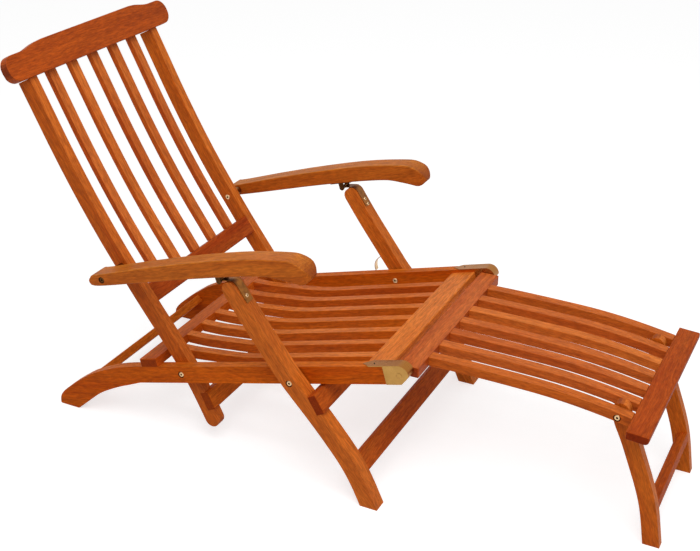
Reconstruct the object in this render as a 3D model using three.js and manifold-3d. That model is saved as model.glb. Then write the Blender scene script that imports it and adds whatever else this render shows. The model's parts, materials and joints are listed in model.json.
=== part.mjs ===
// Folding steamer deck chair in slatted hardwood with brass fittings, with its folding footrest.
// Millimetres, +Z up. +X points to the footrest, -Y is the sitter's right-hand side.

import * as THREE from 'three';
import { mergeVertices } from 'three/addons/utils/BufferGeometryUtils.js';
import Module from 'manifold-3d';

const wasm = await Module();
wasm.setup();

// Clearances
const seatGap = 0.3; // between boards that bear on each other
const runGap = 0.5; // beside boards that turn past each other
const boreGap = 0.15; // around a bolt in its hole
const overrun = 4; // how far cutters pass the faces that they cut

// Widths, measured across the chair
const legSpan = 580; // over the outer faces of the front legs
const legThickness = 33;
const legToRail = 5;
const railThickness = 23;
const stileThickness = 24;
const armOverhang = 12.5; // armrest beyond the front leg
const armWidth = 47.5;
const crestSpan = 566;
const footrestInset = 52; // footrest's outer rails inside the long rails
const endBarOverhang = 42; // end bar beyond the footrest's outer rails
const footRailThickness = 23.5;
const footLegThickness = 20.5;
const footLegGap = 4.5; // between a footrest leg and its outer rail
const footSlatGap = 6.9; // between a footrest leg and the next slat

const legOuter = legSpan / 2;
const legInner = legOuter - legThickness;
const railOuter = legInner - legToRail;
const railInner = railOuter - railThickness;
const stileOuter = railInner - runGap;
const stileInner = stileOuter - stileThickness;
const armOuter = legOuter + armOverhang;
const armInner = armOuter - armWidth;
const footRailOuter = railInner - footrestInset;
const footRailInner = footRailOuter - footRailThickness;
const footLegOuter = footRailInner - footLegGap;
const footLegInner = footLegOuter - footLegThickness;

// Long seat rails, which end in the rear feet
const railTiltDeg = 15.07;
const railDepth = 40;
const backPivotX = 355; // from the heel of the rear feet
const backPivotHeight = 173.4;
const legPivotAlong = 306; // from the back pivot, along the rail
const nosePivotAlong = 544;
const noseReach = 18.5; // of the nose beyond its pivot
const noseRadius = 19;
const noseChamfer = 18;
const noseTurnDeg = 100; // how far the nose turns from the rail's top before its chamfer
const footBendX = 242; // where the rail leaves its straight line to bend down to the foot
const footTopShares = [[0, 0.098], [0.05, 0.22], [0.19, 0.403], [0.326, 0.556], [0.455, 0.685],
  [0.74, 0.886], [1, 1]];
const footUnderShares = [[0.219, 0], [0.364, 0.19], [0.5, 0.367], [0.628, 0.483], [0.752, 0.581],
  [0.872, 0.66]];
const heelShare = 0.017;

// Cross boards of the seat
const rearBoardAlong = -104.5;
const rearBoardLength = 47.5;
const rearBoardThickness = 19.5;
const stretcherLength = 45;
const stretcherThickness = 20;
const stretcherTiltDeg = 44;
const stretcherPlaceShares = [0.28, 0.336]; // of the foot bend's place and the back pivot's height
const frontRailBehind = 27.5; // its front edge behind the nose pivot
const frontRailLength = 59;
const frontRailThickness = 21;
const frontRailDrop = 7; // below the top of the long rails

// Seat slats, flush with the rear board and a little below the front rail
const seatSlatCount = 7;
const seatSlatWidth = 22;
const seatSlatDepth = 21.5;
const seatSideGap = 17; // between the last slat and the backrest's stile
const seatFrontStep = 3; // of the slats' tops below the front rail
const seatTopShares = [[0, 1], [0.099, 0.61], [0.196, 0.37], [0.293, 0.125], [0.391, -0.05],
  [0.552, -0.06], [0.75, -0.05], [1, 0]];

// Backrest, hung on the rails by its stiles
const backReach = 361; // from the pivot back to the crest
const backRise = 612;
const backShares = [[1, 1], [0.778, 0.73], [0.564, 0.501], [0.315, 0.272], [0, 0], [-0.16, -0.1875]];
const stileWidth = 35;
const backSlatCount = 5;
const backSlatWidth = 24.5;
const backSlatDepth = 12.6;
const backSlatLap = 38; // up the back of the crest
const backSideGap = 47; // between the last slat and the stile
const midBarRise = 163; // lower edge above the pivot, along the stile
const midBarWidth = 44;
const midBarThickness = 23;
const lowBarDrop = 62; // upper edge below the pivot, along the stile
const lowBarWidth = 42;
const lowBarThickness = 22;
const lowBarProud = 6.5; // in front of the stiles

// Crest board, in its own plane: shares of half the span and of the crest's height
const crestHeight = 67;
const crestThickness = 21;
const crestProud = 11; // in front of the stiles
const crestEndRadius = 26;
const crestEndHeight = 57;
const crestShoulderShares = [[0.79, 0], [0.735, 0.18], [0.68, 0.5], [0.62, 0.84], [0.55, 1]];

// Armrests, turning on the stiles
const armPivotRise = 268.5; // above the back pivot, along the stile
const armLength = 505; // from its pivot to its front end
const armRise = 142;
const armUnderShares = [[-0.071, -0.06], [-0.05, -0.134], [0.042, -0.056], [0.238, 0.148], [0.43, 0.352],
  [0.671, 0.585], [0.82, 0.7], [0.9, 0.722], [0.96, 0.711], [0.985, 0.74], [1, 0.8]];
const armTopShares = [[1, 0.8], [0.988, 0.873], [0.964, 0.952], [0.919, 1], [0.86, 0.985], [0.671, 0.852],
  [0.41, 0.585], [0.208, 0.352], [-0.004, 0.092], [-0.052, 0.04], [-0.071, -0.06]];

// Front legs, crossing the rails at the leg pivot
const legWidth = 36;
const legTopAhead = 25.5; // centre of its round top in front of the armrest's hinge
const legTopBelow = 14; // and below it
const legFootReach = 181;
const legTopShares = [[-1, 1], [-0.71, 0.69], [-0.216, 0.201], [0, 0]];
const legFootShares = [[0.336, -0.267], [0.597, -0.492], [0.739, -0.628], [0.867, -0.787], [1, -1]];
const legBarAlong = 43; // from the leg pivot
const legBarWidth = 44;
const legBarThickness = 20;
const legBarTiltDeg = 60; // below level
const legStretchAlong = 201.5;
const legStretchWidth = 42;
const legStretchThickness = 15.5;

// Hinge between armrest and front leg
const hingeAlong = 293.5; // from the armrest's pivot, along its underside
const hingeDrop = 13.5; // below the underside
const hingeWidth = 23;
const hingeEyeRadius = 4.5;
const hingeLugRadius = 6;
const hingeLugThickness = 3;
const hingeLugGap = 0.8;
const hingePlateLength = 56;
const strapThickness = 1.5;
const legStrapReach = 40; // down the leg's front

// Safety hook on the left leg
const hookWidth = 14;
const hookAlong = -60; // from the leg pivot
const hookReach = 22;
const hookDrop = 42;
const hookShares = [[0, 0], [-0.45, -0.1], [-0.9, -0.4], [-1, -0.75], [-0.86, -1]];

// Nose caps
const capGap = 0.3;
const capTipReach = 101.5; // back from the front of the nose
const capShoulderReach = 82.5;
const capPlateLength = 52;
const capInnerLength = 44.5; // of the smaller plate on the rail's inner face
const capLipLength = 10; // down the nose's chamfer

// Footrest, turning on the noses
const footrestBarLength = 43; // rear bar, along the chair
const footrestBarThickness = 24;
const footrestBarBehind = 13.5; // behind its pivot
const footrestTopRise = 10.5; // above its pivot
const footrestReach = 414; // between the faces of the two bars
const footrestFall = 25;
const footrestShares = [[0, 0], [0.164, 0.02], [0.38, -0.02], [0.609, -0.14], [0.816, -0.5], [1, -1]];
const footSlatCount = 5;
const footSlatWidth = 24;
const footSlatDepth = 19.5;
const endBarLength = 44;
const endBarThickness = 18;
const endBarFall = 3;
const endBarStep = 2; // of the end bar's top below the slats
const footSlatStep = 0.8; // of the slats' tops below the rear bar

// Footrest legs
const footPivotBehind = 28; // behind the end bar
const footPivotDrop = 32; // below the slats' rear ends
const footLegWidth = 33.5;
const footLegReach = 89.2;
const footLegShares = [[0, 0], [0.035, -0.066], [0.239, -0.2], [0.54, -0.434], [0.714, -0.582],
  [0.852, -0.736], [1, -1]];
const footStretchAlong = 210.5;
const footStretchWidth = 19.5;
const footStretchThickness = 21.5;
const footBoltBite = 15; // of the leg's bolt in the next slat

// Bolts
const boltRadius = 4;
const boltHeadRadius = 7;
const boltHeadHeight = 2.6;
const boltSink = 3;
const spacerRadius = 9;
const pinReach = 24; // of the footrest's pin inwards from the rail
const boltSides = 20;

const colours = { slat: 0xcd7240, board: 0xb2501f, dark: 0x9b3c0d, crest: 0xb0501c, brass: 0xb9964f };

const half = (size) => size / 2;
const turnDeg = (degrees) => THREE.MathUtils.degToRad(degrees);
const side = (x, z) => new THREE.Vector2(x, z);

// A point of the seat rails: distance along from the back pivot, and above the rail's middle line
const railTilt = turnDeg(railTiltDeg);
const railDirection = side(Math.cos(railTilt), Math.sin(railTilt));
const railUp = side(-railDirection.y, railDirection.x);
const backPivot = side(backPivotX, backPivotHeight);
function onRail(along, above) {
  return backPivot.clone().addScaledVector(railDirection, along).addScaledVector(railUp, above);
}
const legPivot = onRail(legPivotAlong, 0);
const noseAlong = nosePivotAlong + noseReach;
const nosePivot = onRail(nosePivotAlong, 0);

// Points given as shares of a run and a rise from a start
function spread(start, run, rise, shares) {
  return shares.map(([x, z]) => side(start.x + x * run, start.y + z * rise));
}

function smooth(points, pieces) {
  return new THREE.SplineCurve(points).getPoints(pieces);
}

// A smooth line that is measured along its length. Its left side is the positive side.
function course(points) {
  const curve = new THREE.SplineCurve(points);
  const length = curve.getLength();
  const tangent = (along) => curve.getTangentAt(THREE.MathUtils.clamp(along / length, 0, 1));
  function at(along, aside) {
    const held = THREE.MathUtils.clamp(along, 0, length);
    const direction = tangent(held);
    const left = side(-direction.y, direction.x);
    const point = curve.getPointAt(held / length);
    return point.addScaledVector(direction, along - held).addScaledVector(left, aside);
  }
  function nearest(point) {
    const samples = 2000;
    let best = 0;
    for (let i = 0; i <= samples; i++) {
      const along = length * i / samples;
      if (at(along, 0).distanceTo(point) < at(best, 0).distanceTo(point)) best = along;
    }
    return best;
  }
  // Where the side line at this distance aside, carried on straight, comes to a level
  function toLevel(level, aside) {
    const point = at(length, aside);
    const direction = tangent(length);
    return point.addScaledVector(direction, (level - point.y) / direction.y);
  }
  return { length, at, nearest, tangent, toLevel };
}

// The points between two ends of a half circle that bulges away from the outline
function halfRound(start, end, steps = 8) {
  const centre = start.clone().add(end).multiplyScalar(half(1));
  const points = [];
  for (let i = 1; i < steps; i++) points.push(start.clone().rotateAround(centre, Math.PI * i / steps));
  return points;
}

// Outline of a board that follows a line between two distances and between two sides of it
function strip(line, from, to, low, high, steps, ends = {}) {
  const lower = [];
  const upper = [];
  for (let i = 0; i <= steps; i++) {
    const along = from + (to - from) * i / steps;
    lower.push(line.at(along, low));
    upper.push(line.at(along, high));
  }
  if (ends.floor) {
    lower[steps] = line.toLevel(0, low);
    upper[steps] = line.toLevel(0, high);
  }
  const endRound = ends.roundEnd ? halfRound(lower[steps], upper[steps]) : [];
  const startRound = ends.roundStart ? halfRound(upper[0], lower[0]) : [];
  return [...lower, ...endRound, ...upper.reverse(), ...startRound];
}

// A straight board whose front face runs between two places on one side of a line
function chordBoard(line, from, to, front, thickness, grow = 0) {
  const start = line.at(from, front);
  const end = line.at(to, front);
  const direction = end.clone().sub(start).normalize();
  const left = side(-direction.y, direction.x);
  start.addScaledVector(direction, -grow);
  end.addScaledVector(direction, grow);
  const back = -thickness - grow;
  return [start.clone().addScaledVector(left, back), end.clone().addScaledVector(left, back),
    end.clone().addScaledVector(left, grow), start.clone().addScaledVector(left, grow)];
}

// A straight board from one corner of its underside, turned below or above level
function boardFrom(corner, direction, length, thickness, grow = 0) {
  const left = side(-direction.y, direction.x);
  const start = corner.clone().addScaledVector(direction, -grow);
  const end = corner.clone().addScaledVector(direction, length + grow);
  return [start.clone().addScaledVector(left, -grow), end.clone().addScaledVector(left, -grow),
    end.addScaledVector(left, thickness + grow), start.addScaledVector(left, thickness + grow)];
}

// A path moved to its left
function shifted(points, aside) {
  return points.map((point, i) => {
    const before = points[Math.max(i - 1, 0)];
    const after = points[Math.min(i + 1, points.length - 1)];
    const arrive = (i > 0 ? point.clone().sub(before) : after.clone().sub(point)).normalize();
    const leave = (i < points.length - 1 ? after.clone().sub(point) : point.clone().sub(before)).normalize();
    const direction = arrive.clone().add(leave).normalize();
    return point.clone().addScaledVector(side(-direction.y, direction.x), aside / direction.dot(leave));
  });
}

function ribbon(points, low, high) {
  return [...shifted(points, low), ...shifted(points, high).reverse()];
}

function arc(centre, radius, fromDeg, toDeg, steps) {
  const points = [];
  for (let i = 0; i <= steps; i++) {
    const angle = turnDeg(fromDeg + (toDeg - fromDeg) * i / steps);
    points.push(side(centre.x + radius * Math.cos(angle), centre.y + radius * Math.sin(angle)));
  }
  return points;
}

// Solids: a side outline extruded across the chair, and round pieces on an axis across the chair
function solidOf(geometry) {
  geometry.deleteAttribute('normal');
  geometry.deleteAttribute('uv');
  const merged = mergeVertices(geometry);
  return new wasm.Manifold(new wasm.Mesh({
    numProp: 3,
    vertProperties: new Float32Array(merged.attributes.position.array),
    triVerts: new Uint32Array(merged.index.array),
  }));
}

function across(outline, yLow, yHigh) {
  const shape = new THREE.Shape(outline);
  const geometry = new THREE.ExtrudeGeometry(shape, { depth: yHigh - yLow, bevelEnabled: false });
  geometry.rotateX(Math.PI / 2);
  geometry.translate(0, yHigh, 0);
  return solidOf(geometry);
}

function roundAcross(place, radius, yLow, yHigh, sides = boltSides) {
  const geometry = new THREE.CylinderGeometry(radius, radius, yHigh - yLow, sides);
  geometry.translate(place.x, half(yLow + yHigh), place.y);
  return solidOf(geometry);
}

function bore(place, yLow, yHigh) {
  return roundAcross(place, boltRadius + boreGap, yLow - overrun, yHigh + overrun);
}

// Boards are drawn for the left-hand side; this gives the same range on either side
function band(hand, inner, outer) {
  return hand > 0 ? [inner, outer] : [-outer, -inner];
}

const chair = new THREE.Group();
const materials = {};
for (const [name, colour] of Object.entries(colours)) {
  materials[name] = new THREE.MeshStandardMaterial({
    color: colour,
    roughness: name === 'brass' ? 0.35 : 0.55,
    metalness: name === 'brass' ? 1 : 0,
  });
}

function add(name, solid, material) {
  const mesh = solid.getMesh();
  const geometry = new THREE.BufferGeometry();
  geometry.setAttribute('position', new THREE.BufferAttribute(new Float32Array(mesh.vertProperties), 3));
  geometry.setIndex(new THREE.BufferAttribute(new Uint32Array(mesh.triVerts), 1));
  geometry.computeVertexNormals();
  const node = new THREE.Mesh(geometry, materials[material]);
  node.name = name;
  chair.add(node);
}

const hands = { right: -1, left: 1 };

// Lines that the curved boards follow
const backLine = course(spread(backPivot, -backReach, backRise, backShares));
const backPivotOn = backLine.nearest(backPivot);
const armPivot = backLine.at(backPivotOn - armPivotRise, 0);
const armUnderLine = course(spread(armPivot, armLength, armRise, armUnderShares));
const hinge = armUnderLine.at(armUnderLine.nearest(armPivot) + hingeAlong, -hingeDrop);
const legTopReach = legPivot.x - hinge.x - legTopAhead;
const legTopRise = hinge.y - legTopBelow - legPivot.y;
const legLine = course([...spread(legPivot, legTopReach, legTopRise, legTopShares),
  ...spread(legPivot, legFootReach, legPivot.y, legFootShares)]);
const legPivotOn = legLine.nearest(legPivot);
const footrestTop = nosePivot.y + footrestTopRise;
const footrestBarRear = nosePivot.x - footrestBarBehind;
const footrestBarFront = footrestBarRear + footrestBarLength;
const endBarRear = footrestBarFront + footrestReach;
const footSlatStart = side(footrestBarFront + seatGap, footrestTop - footSlatStep);
const footSlatReach = footrestReach - seatGap - seatGap;
const footPivot = side(endBarRear - footPivotBehind, footSlatStart.y - footPivotDrop);
const footLegLine = course(spread(footPivot, footLegReach, footPivot.y, footLegShares));
const legHalf = half(legWidth);
const stileHalf = half(stileWidth);
const railHalf = half(railDepth);

// A sunk head on the outer face, and a plain head on the inner face
function boltAcross(hand, place, headFace, endFace, collar) {
  const headSeat = headFace - boltSink;
  const pieces = [
    roundAcross(place, boltRadius, ...band(hand, endFace, headSeat)),
    roundAcross(place, boltHeadRadius, ...band(hand, headSeat, headSeat + boltHeadHeight)),
    roundAcross(place, boltHeadRadius, ...band(hand, endFace - boltHeadHeight, endFace)),
  ];
  if (collar) pieces.push(roundAcross(place, spacerRadius, ...band(hand, ...collar)));
  return pieces.reduce((whole, piece) => whole.add(piece));
}

function sinkFor(hand, place, headFace) {
  const depth = boltSink + seatGap;
  return roundAcross(place, boltHeadRadius + runGap, ...band(hand, headFace - depth, headFace + overrun));
}

// Seat rails
const noseCentre = onRail(noseAlong - noseRadius, railHalf - noseRadius);
const noseTopDeg = railTiltDeg + 90;
const noseArc = arc(noseCentre, noseRadius, noseTopDeg, noseTopDeg - noseTurnDeg, 8);
const noseUnder = onRail(noseAlong - noseChamfer, -railHalf);
function railOutline() {
  const railTopAt = (x) => onRail((x - onRail(0, railHalf).x) / railDirection.x, railHalf).y;
  const footRise = railTopAt(footBendX);
  const heel = side(0, 0);
  const top = smooth(spread(heel, footBendX, footRise, footTopShares), 12);
  const bendUnder = side(footBendX, footRise - railDepth / railDirection.x);
  const under = smooth([...spread(heel, footBendX, footRise, footUnderShares), bendUnder], 10);
  return [side(heelShare * footBendX, 0), ...under, noseUnder, ...noseArc.toReversed(), ...top.toReversed()];
}
const stretcherCorner = side(stretcherPlaceShares[0] * footBendX, stretcherPlaceShares[1] * backPivotHeight);
const stretcherDirection = side(Math.cos(turnDeg(stretcherTiltDeg)), Math.sin(turnDeg(stretcherTiltDeg)));
function rail(hand) {
  const [low, high] = band(hand, railInner, railOuter);
  return across(railOutline(), low, high)
    .subtract(bore(backPivot, low, high))
    .subtract(bore(legPivot, low, high))
    .subtract(bore(nosePivot, low, high))
    .subtract(sinkFor(hand, backPivot, railOuter));
}

function rearBoard() {
  const corner = onRail(rearBoardAlong, railHalf + seatGap);
  return across(boardFrom(corner, railDirection, rearBoardLength, rearBoardThickness), -railOuter, railOuter);
}

function rearStretcher() {
  const corner = stretcherCorner.clone()
    .addScaledVector(stretcherDirection, -half(stretcherLength))
    .addScaledVector(side(stretcherDirection.y, -stretcherDirection.x), half(stretcherThickness));
  const outline = boardFrom(corner, stretcherDirection, stretcherLength, stretcherThickness);
  return across(outline, -railInner, railInner);
}

const frontRailTop = railHalf - frontRailDrop;
const frontRailAlong = nosePivotAlong - frontRailBehind - frontRailLength;
function frontRail() {
  const corner = onRail(frontRailAlong, frontRailTop - frontRailThickness);
  return across(boardFrom(corner, railDirection, frontRailLength, frontRailThickness), -railInner, railInner);
}

function seatSlat(centre) {
  const rearEnd = rearBoardAlong + rearBoardLength + seatGap;
  const frontTop = frontRailTop - seatFrontStep;
  const run = frontRailAlong - seatGap - rearEnd;
  const drop = railHalf + seatGap + rearBoardThickness - frontTop;
  const tops = smooth(spread(side(rearEnd, frontTop), run, drop, seatTopShares), 16);
  const top = tops.map((place) => onRail(place.x, place.y));
  const under = tops.map((place) => onRail(place.x, place.y - seatSlatDepth));
  return across([...under, ...top.reverse()], centre - half(seatSlatWidth), centre + half(seatSlatWidth));
}

// Brass cap on the nose: a plate on either face, and a strap with a pointed tail over its top and front
const outerGap = capGap + strapThickness;
function noseCap(hand) {
  const [strapLow, strapHigh] = band(hand, railInner - outerGap, railOuter + outerGap);
  const noseLip = noseUnder.clone().sub(noseArc.at(-1)).setLength(capLipLength).add(noseArc.at(-1));
  const wrap = [onRail(noseAlong - capShoulderReach, railHalf), ...noseArc, noseLip];
  const shoulder = noseAlong - capShoulderReach;
  const bend = noseAlong - noseRadius;
  const tail = new THREE.Shape([side(noseAlong - capTipReach, half(strapLow + strapHigh)),
    side(shoulder, strapLow), side(bend, strapLow), side(bend, strapHigh), side(shoulder, strapHigh)]);
  const tailGeometry = new THREE.ExtrudeGeometry(tail, { depth: strapThickness, bevelEnabled: false });
  const base = onRail(0, railHalf + capGap);
  tailGeometry.rotateY(-railTilt);
  tailGeometry.translate(base.x, 0, base.y);
  const strap = across(ribbon(wrap, capGap, outerGap), strapLow, strapHigh).add(solidOf(tailGeometry));
  function plate(length, inner) {
    const edge = shifted([onRail(noseAlong - length, railHalf), ...noseArc, noseLip], outerGap).reverse();
    const outline = [onRail(noseAlong - length, -railHalf), noseUnder, ...edge];
    return across(outline, ...band(hand, inner, inner + strapThickness));
  }
  return strap
    .add(plate(capPlateLength, railOuter + capGap))
    .add(plate(capInnerLength, railInner - outerGap))
    .subtract(bore(nosePivot, strapLow, strapHigh));
}

// Pin on which the footrest turns, with its flat head on the cap
function nosePin(hand) {
  const headSeat = railOuter + outerGap + seatGap;
  return roundAcross(nosePivot, boltRadius, ...band(hand, railInner - pinReach, headSeat))
    .add(roundAcross(nosePivot, boltHeadRadius, ...band(hand, headSeat, headSeat + strapThickness)));
}

// Backrest
const lowBarFrom = backPivotOn + lowBarDrop;
const lowBarTo = lowBarFrom + lowBarWidth;
function lowBarOutline(grow) {
  return chordBoard(backLine, lowBarFrom, lowBarTo, stileHalf + lowBarProud, lowBarThickness, grow);
}
function stile(hand) {
  const [low, high] = band(hand, stileInner, stileOuter);
  const outline = strip(backLine, seatGap, backLine.length, -stileHalf, stileHalf, 18, { roundEnd: true });
  return across(outline, low, high)
    .subtract(across(lowBarOutline(seatGap), low - overrun, high + overrun))
    .subtract(bore(backPivot, low, high))
    .subtract(bore(armPivot, low, high));
}

const midBarTo = backPivotOn - midBarRise;
const midBarFrom = midBarTo - midBarWidth;
function midBar() {
  const outline = chordBoard(backLine, midBarFrom, midBarTo, stileHalf, midBarThickness);
  return across(outline, -stileInner, stileInner);
}

const crestBack = stileHalf + crestProud - crestThickness;
function backSlat(centre) {
  const end = midBarFrom - seatGap;
  const front = crestBack - seatGap;
  const outline = strip(backLine, -backSlatLap, end, front - backSlatDepth, front, 12);
  return across(outline, centre - half(backSlatWidth), centre + half(backSlatWidth));
}

function crest() {
  const reach = half(crestSpan);
  const rise = crestHeight - crestEndHeight;
  const rightHalf = [];
  const corner = side(reach - crestEndRadius, crestEndRadius);
  const upperCorner = side(reach - crestEndRadius, crestEndHeight - crestEndRadius);
  rightHalf.push(...arc(corner, crestEndRadius, -90, 0, 6), ...arc(upperCorner, crestEndRadius, 0, 90, 6));
  rightHalf.push(...smooth(spread(side(0, crestEndHeight), reach, rise, crestShoulderShares), 8));
  const leftHalf = rightHalf.map((point) => side(-point.x, point.y)).reverse();
  const shape = new THREE.Shape([...rightHalf, ...leftHalf]);
  const geometry = new THREE.ExtrudeGeometry(shape, { depth: crestThickness, bevelEnabled: false });
  const down = backLine.tangent(0);
  const up = new THREE.Vector3(-down.x, 0, -down.y);
  const acrossChair = new THREE.Vector3(0, 1, 0);
  const front = acrossChair.clone().cross(up);
  const base = backLine.at(0, crestBack);
  const place = new THREE.Matrix4().makeBasis(acrossChair, up, front).setPosition(base.x, 0, base.y);
  return solidOf(geometry.applyMatrix4(place));
}

// Armrests and their hinges
function armOutline() {
  const under = smooth(spread(armPivot, armLength, armRise, armUnderShares), 24);
  const top = smooth(spread(armPivot, armLength, armRise, armTopShares), 24);
  return [...under.slice(0, -1), ...top.slice(0, -1)];
}
function armrest(hand) {
  const [low, high] = band(hand, armInner, armOuter);
  return across(armOutline(), low, high)
    .subtract(bore(armPivot, low, high))
    .subtract(sinkFor(hand, armPivot, armOuter));
}

function armBolt(hand) {
  return boltAcross(hand, armPivot, armOuter, stileInner);
}

function armSpacer(hand) {
  const [low, high] = band(hand, stileOuter + seatGap, armInner - seatGap);
  return roundAcross(armPivot, spacerRadius, low, high).subtract(bore(armPivot, low, high));
}

const hingeMiddle = half(legInner + legOuter);
const hingeInner = hingeMiddle - half(hingeWidth);
const hingeOuter = hingeMiddle + half(hingeWidth);
function armHinge(hand) {
  const middle = armUnderLine.nearest(armPivot) + hingeAlong;
  const plate = chordBoard(armUnderLine, middle - half(hingePlateLength), middle + half(hingePlateLength),
    -seatGap, strapThickness);
  const lugInner = hingeInner - hingeLugGap - hingeLugThickness;
  const lugOuter = hingeOuter + hingeLugGap + hingeLugThickness;
  const top = armUnderLine.at(middle, -seatGap - half(strapThickness));
  const up = top.clone().sub(hinge).normalize();
  const aside = side(-up.y, up.x).multiplyScalar(hingeLugRadius);
  const neck = [hinge.clone().add(aside), hinge.clone().sub(aside),
    top.clone().sub(aside), top.clone().add(aside)];
  const lug = (from, to) => across(neck, ...band(hand, from, to))
    .add(roundAcross(hinge, hingeLugRadius, ...band(hand, from, to)));
  return across(plate, ...band(hand, lugInner, lugOuter))
    .add(lug(lugInner, lugInner + hingeLugThickness))
    .add(lug(lugOuter - hingeLugThickness, lugOuter));
}

// Front legs
const legBarCorner = legLine.at(legPivotOn + legBarAlong, legHalf);
const legBarDirection = side(Math.cos(turnDeg(legBarTiltDeg)), -Math.sin(turnDeg(legBarTiltDeg)));
function legBarOutline(grow) {
  return boardFrom(legBarCorner, legBarDirection, legBarWidth, legBarThickness, grow);
}
function legBar() {
  return across(legBarOutline(0), -legOuter, legOuter);
}

function frontLeg(hand) {
  const [low, high] = band(hand, legInner, legOuter);
  const outline = strip(legLine, 0, legLine.length, -legHalf, legHalf, 18, { roundStart: true, floor: true });
  return across(outline, low, high)
    .subtract(across(legBarOutline(seatGap), low - overrun, high + overrun))
    .subtract(bore(legPivot, low, high))
    .subtract(sinkFor(hand, legPivot, legOuter));
}

function legStretcher() {
  const from = legPivotOn + legStretchAlong;
  const outline = chordBoard(legLine, from, from + legStretchWidth, legHalf, legStretchThickness);
  return across(outline, -legInner, legInner);
}

// Strap up the leg's front, over its round top and back to the hinge's eye
function legStrap(hand) {
  const topCentre = legLine.at(0, 0);
  const toHinge = hinge.clone().sub(topCentre);
  const frontDeg = THREE.MathUtils.radToDeg(legLine.at(0, legHalf).sub(topCentre).angle());
  const hingeDeg = THREE.MathUtils.radToDeg(toHinge.angle());
  const tangentDeg = THREE.MathUtils.radToDeg(Math.acos(legHalf / toHinge.length()));
  const down = [1, 0.5].map((share) => legLine.at(share * legStrapReach, legHalf));
  const over = arc(topCentre, legHalf, frontDeg, hingeDeg - tangentDeg, 7);
  const path = [...down, ...over, hinge].reverse();
  const [low, high] = band(hand, hingeInner, hingeOuter);
  return across(ribbon(path, seatGap, seatGap + strapThickness), low, high)
    .add(roundAcross(hinge, hingeEyeRadius, low, high));
}

function stayHook() {
  const start = legLine.at(legPivotOn + hookAlong, -legHalf - seatGap);
  const path = smooth(spread(start, hookReach, hookDrop, hookShares), 12);
  const reach = half(hookWidth);
  return across(ribbon(path, 0, strapThickness), hingeMiddle - reach, hingeMiddle + reach);
}

// Footrest
function footrestRearBar() {
  const low = footrestTop - footrestBarThickness;
  const outline = [side(footrestBarRear, low), side(footrestBarFront, low),
    side(footrestBarFront, footrestTop), side(footrestBarRear, footrestTop)];
  const reach = railInner - outerGap - runGap;
  const pinHole = (hand) => roundAcross(nosePivot, boltRadius + boreGap,
    ...band(hand, railInner - pinReach - seatGap, railInner + overrun));
  return across(outline, -reach, reach).subtract(pinHole(hands.right)).subtract(pinHole(hands.left));
}

function footrestBoard(low, high) {
  const top = smooth(spread(footSlatStart, footSlatReach, footrestFall, footrestShares), 14);
  const under = top.map((point) => side(point.x, point.y - footSlatDepth));
  return across([...under, ...top.reverse()], low, high);
}

function footrestRail(hand) {
  const [low, high] = band(hand, footRailInner, footRailOuter);
  return footrestBoard(low, high)
    .subtract(bore(footPivot, low, high))
    .subtract(sinkFor(hand, footPivot, footRailOuter));
}

// The outermost slats take the ends of the legs' bolts, in holes that stop inside them
const footBoltEnd = footLegInner - footSlatGap - footBoltBite;
function footrestSlat(centre, isOutermost) {
  const slat = footrestBoard(centre - half(footSlatWidth), centre + half(footSlatWidth));
  if (!isOutermost) return slat;
  const holeBand = band(Math.sign(centre), footBoltEnd - seatGap, footLegInner);
  return slat.subtract(roundAcross(footPivot, boltRadius + boreGap, ...holeBand));
}

function endBar() {
  const top = footSlatStart.y - footrestFall - endBarStep;
  const front = endBarRear + endBarLength;
  const radius = half(endBarThickness);
  const rounded = arc(side(front - radius, top - endBarFall - radius), radius, -90, 0, 5);
  const outline = [side(endBarRear, top - endBarThickness), ...rounded, side(front, top - endBarFall),
    side(endBarRear, top)];
  return across(outline, -footRailOuter - endBarOverhang, footRailOuter + endBarOverhang);
}

// Footrest legs
function footLegBolt(hand) {
  const headSeat = footRailOuter - boltSink;
  return roundAcross(footPivot, boltRadius, ...band(hand, footBoltEnd, headSeat))
    .add(roundAcross(footPivot, boltHeadRadius, ...band(hand, headSeat, headSeat + boltHeadHeight)));
}

function footLeg(hand) {
  const [low, high] = band(hand, footLegInner, footLegOuter);
  const width = half(footLegWidth);
  const ends = { roundStart: true, floor: true };
  const outline = strip(footLegLine, 0, footLegLine.length, -width, width, 14, ends);
  return across(outline, low, high).subtract(bore(footPivot, low, high));
}

function footStretcher() {
  const outline = chordBoard(footLegLine, footStretchAlong, footStretchAlong + footStretchWidth,
    half(footLegWidth), footStretchThickness);
  return across(outline, -footLegInner, footLegInner);
}

// Places across the chair of a row of slats
function row(count, inside, sideGap, width) {
  const last = inside - sideGap - half(width);
  return Array.from({ length: count }, (_, i) => -last + i * 2 * last / (count - 1));
}

add('rear_seat_crossbar', rearBoard(), 'slat');
add('rear_foot_stretcher', rearStretcher(), 'board');
add('front_seat_rail', frontRail(), 'slat');
row(seatSlatCount, stileInner, seatSideGap, seatSlatWidth).forEach((y, i) => {
  add(`seat_slat_${i + 1}`, seatSlat(y), 'slat');
});
add('crest_rail', crest(), 'crest');
add('back_mid_bar', midBar(), 'slat');
add('back_lower_bar', across(lowBarOutline(0), -stileOuter, stileOuter), 'board');
row(backSlatCount, stileInner, backSideGap, backSlatWidth).forEach((y, i) => {
  add(`back_slat_${i + 1}`, backSlat(y), 'slat');
});
add('leg_upper_crossbar', legBar(), 'slat');
add('leg_lower_stretcher', legStretcher(), 'slat');
add('stay_hook', stayHook(), 'brass');
add('footrest_rear_bar', footrestRearBar(), 'slat');
row(footSlatCount, footLegInner, footSlatGap, footSlatWidth).forEach((y, i) => {
  add(`footrest_slat_${i + 1}`, footrestSlat(y, i === 0 || i === footSlatCount - 1), 'slat');
});
add('footrest_end_bar', endBar(), 'slat');
add('footrest_leg_stretcher', footStretcher(), 'board');
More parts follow.
